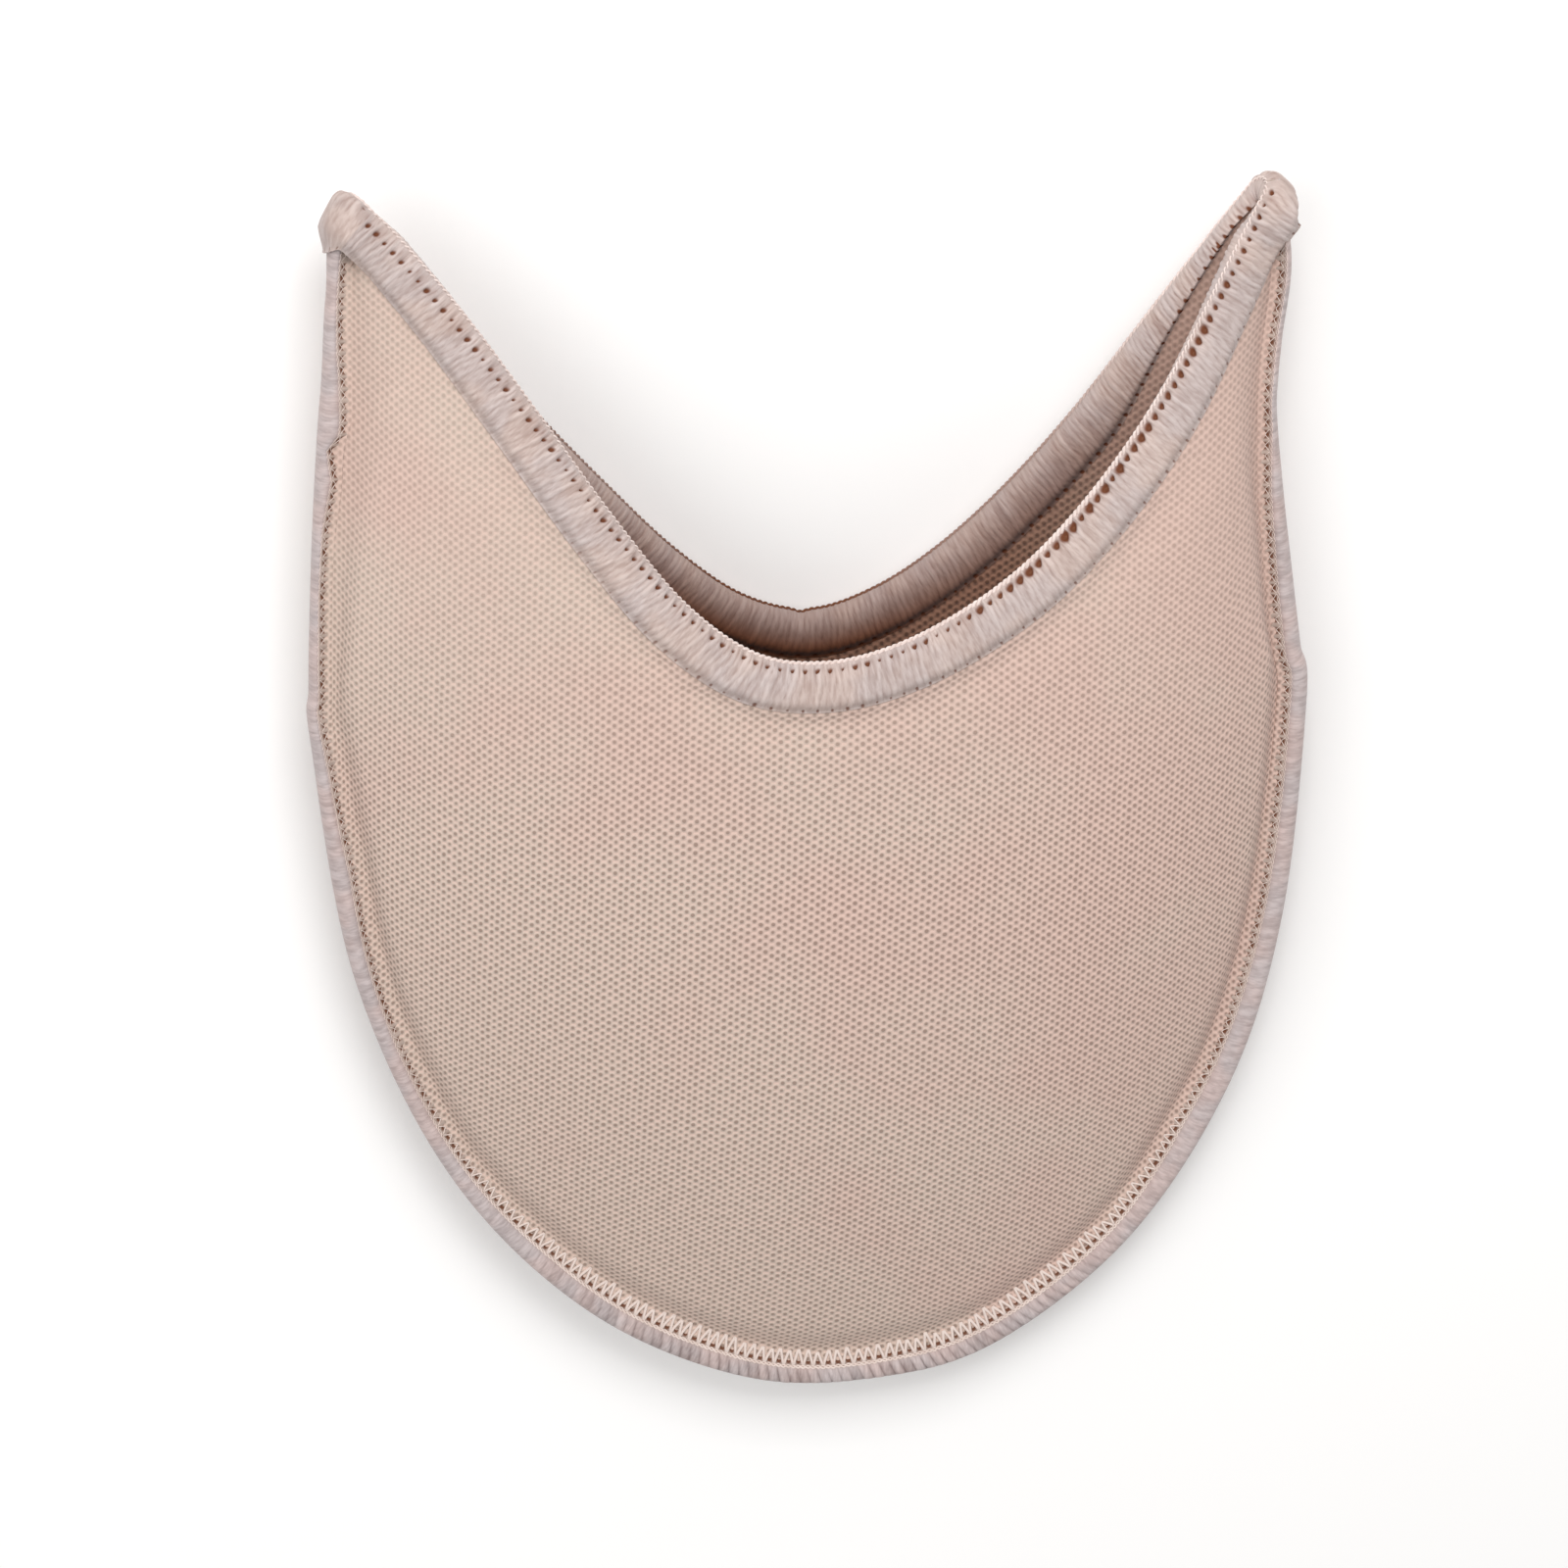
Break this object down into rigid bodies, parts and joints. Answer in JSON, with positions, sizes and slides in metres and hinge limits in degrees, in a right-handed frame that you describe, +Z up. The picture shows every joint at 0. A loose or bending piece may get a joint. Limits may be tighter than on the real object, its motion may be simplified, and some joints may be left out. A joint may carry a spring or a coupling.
{
  "type": "ballet toe pad",
  "caption": "Padded knit toe pocket with a domed front panel, a flat back panel, a scooped mouth between horns and overlocked edges.",
  "frame": {"origin": "middle of the pad's box, on the surface it lies on", "axes": "+X across the pad, +Y from the toe to the horns at the mouth, +Z up through the domed front panel"},
  "size_m": [0.0866, 0.1134, 0.0181],
  "materials": {
    "front_knit": "matt nude polyester warp knit with rows of tiny pin holes, over padding",
    "back_knit": "matt nude polyester warp knit with rows of tiny pin holes, over padding",
    "mouth_thread": "dense pale pink textured overlock thread with a soft sheen",
    "seam_thread": "pale lilac grey textured overlock thread with a soft sheen"
  },
  "bodies": {
    "root": {"front_panel": "front_knit", "back_panel": "back_knit", "mouth_binding": "mouth_thread", "side_seam_binding": "seam_thread"}
  },
  "joints": []
}
